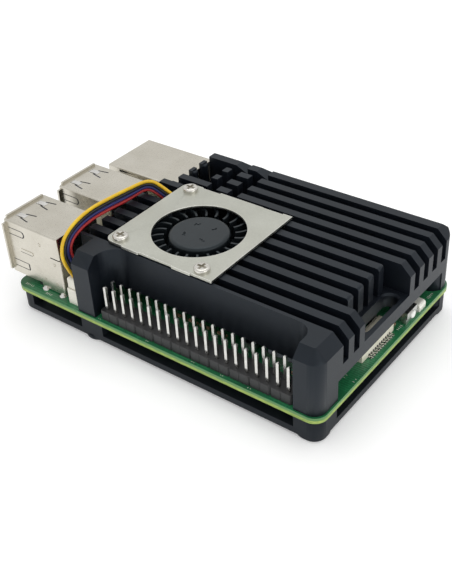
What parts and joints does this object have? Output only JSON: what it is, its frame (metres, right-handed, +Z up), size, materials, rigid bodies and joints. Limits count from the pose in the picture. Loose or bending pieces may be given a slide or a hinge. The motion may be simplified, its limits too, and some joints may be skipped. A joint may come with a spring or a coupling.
{
  "type": "single board computer",
  "caption": "Credit-card-size single board computer in a finned black metal case with a flat blower fan, stacked USB and network sockets at one end and an exposed pin header.",
  "frame": {"origin": "centre of the outline in plan, on the surface the four feet stand on", "axes": "+X along the board towards the USB and network end, +Y across it towards the pin header, +Z up"},
  "size_m": [0.0878, 0.0572, 0.0262],
  "materials": {
    "anodised_black": "black anodised aluminium, fine bead-blasted satin",
    "board_green": "green solder mask over glass-epoxy board",
    "nickel_plate": "satin nickel-plated sheet",
    "shield_nickel": "bright nickel-plated shell sheet",
    "screw_nickel": "nickel-plated screw",
    "screw_black": "black oxide screw",
    "plastic_black": "black moulded plastic",
    "plastic_grey": "dark grey moulded fan plastic",
    "plastic_cream": "cream heat-resistant connector plastic",
    "plastic_white": "white connector plastic",
    "plastic_blue": "blue connector tongue plastic",
    "latch_beige": "beige latch plastic",
    "pin_gold": "gold-plated contact",
    "pin_tin": "bright tin-plated square pin",
    "chip_black": "black chip moulding",
    "chip_lid": "nickel-plated chip lid",
    "can_metal": "tinned shielding can",
    "pad_grey": "soft thermal pad",
    "magnet_dark": "bonded ferrite ring",
    "steel": "ground steel",
    "bronze": "sintered bronze",
    "copper_wire": "enamelled copper winding",
    "wire_yellow": "yellow wire insulation",
    "wire_black": "black wire insulation",
    "wire_blue": "blue wire insulation",
    "wire_red": "red wire insulation",
    "ceramic_tan": "multilayer ceramic capacitor",
    "led_clear": "clear lamp moulding",
    "button_white": "white button cap"
  },
  "bodies": {
    "computer": {"camera_sockets": "plastic_cream", "card_slot_cage": "can_metal", "case_lower_shell": "anodised_black", "case_screws": "screw_black", "case_upper_shell": "anodised_black", "chip_capacitors": "ceramic_tan", "crystals": "can_metal", "fan_bearing": "bronze", "fan_cover_plate": "nickel_plate", "fan_drive_board": "board_green", "fan_header": "plastic_white", "fan_housing": "plastic_black", "fan_plug": "plastic_white", "fan_screws": "screw_nickel", "fan_stator_core": "steel", "fan_stator_windings": "copper_wire", "fan_wire_black": "wire_black", "fan_wire_blue": "wire_blue", "fan_wire_red": "wire_red", "fan_wire_yellow": "wire_yellow", "gpio_header_block": "plastic_black", "header_pins": "pin_tin", "inductors": "magnet_dark", "io_controller_chip": "chip_black", "lan_jack_body": "plastic_black", "lan_jack_contacts": "pin_gold", "lan_jack_lights": "led_clear", "lan_jack_shield": "shield_nickel", "micro_hdmi_shells": "shield_nickel", "micro_hdmi_tongues": "plastic_black", "network_phy_chip": "chip_black", "pcb": "board_green", "pcie_socket": "plastic_cream", "poe_header_block": "plastic_black", "power_button_frame": "can_metal", "power_manager_chip": "chip_black", "radio_can": "can_metal", "ram_chip": "chip_black", "ribbon_contacts": "pin_tin", "small_socket_pins": "pin_tin", "small_sockets": "plastic_white", "soc_lid": "chip_lid", "soc_substrate": "board_green", "status_light": "led_clear", "thermal_pads": "pad_grey", "usb2_insulator": "plastic_black", "usb2_shell": "shield_nickel", "usb3_insulator": "plastic_blue", "usb3_shell": "shield_nickel", "usb_c_shell": "shield_nickel", "usb_c_tongue": "plastic_black", "usb_contacts": "pin_gold"},
    "fan_rotor": {"fan_impeller": "plastic_grey", "fan_yoke_ring": "steel", "fan_magnet_ring": "magnet_dark", "fan_shaft": "steel"},
    "power_button": {"power_button_plunger": "button_white"},
    "pcie_latch": {"pcie_latch": "latch_beige"},
    "camera_latch_a": {"camera_latch_a": "latch_beige"},
    "camera_latch_b": {"camera_latch_b": "latch_beige"}
  },
  "joints": [
    {"name": "fan_spin", "type": "hinge", "parent": "computer", "child": "fan_rotor", "pos_m": [0.00185, 0.0062, 0.02], "axis": [0, 0, 1], "continuous": true},
    {"name": "power_button_press", "type": "slide", "parent": "computer", "child": "power_button", "axis": [1, 0, 0], "range_m": [0, 0.00025], "stiffness_N_per_m": 400},
    {"name": "pcie_latch_lift", "type": "slide", "parent": "computer", "child": "pcie_latch", "axis": [0, 0, 1], "range_m": [0, 0.0008]},
    {"name": "camera_latch_a_lift", "type": "slide", "parent": "computer", "child": "camera_latch_a", "axis": [0, 0, 1], "range_m": [0, 0.0008]},
    {"name": "camera_latch_b_lift", "type": "slide", "parent": "computer", "child": "camera_latch_b", "axis": [0, 0, 1], "range_m": [0, 0.0008]}
  ]
}
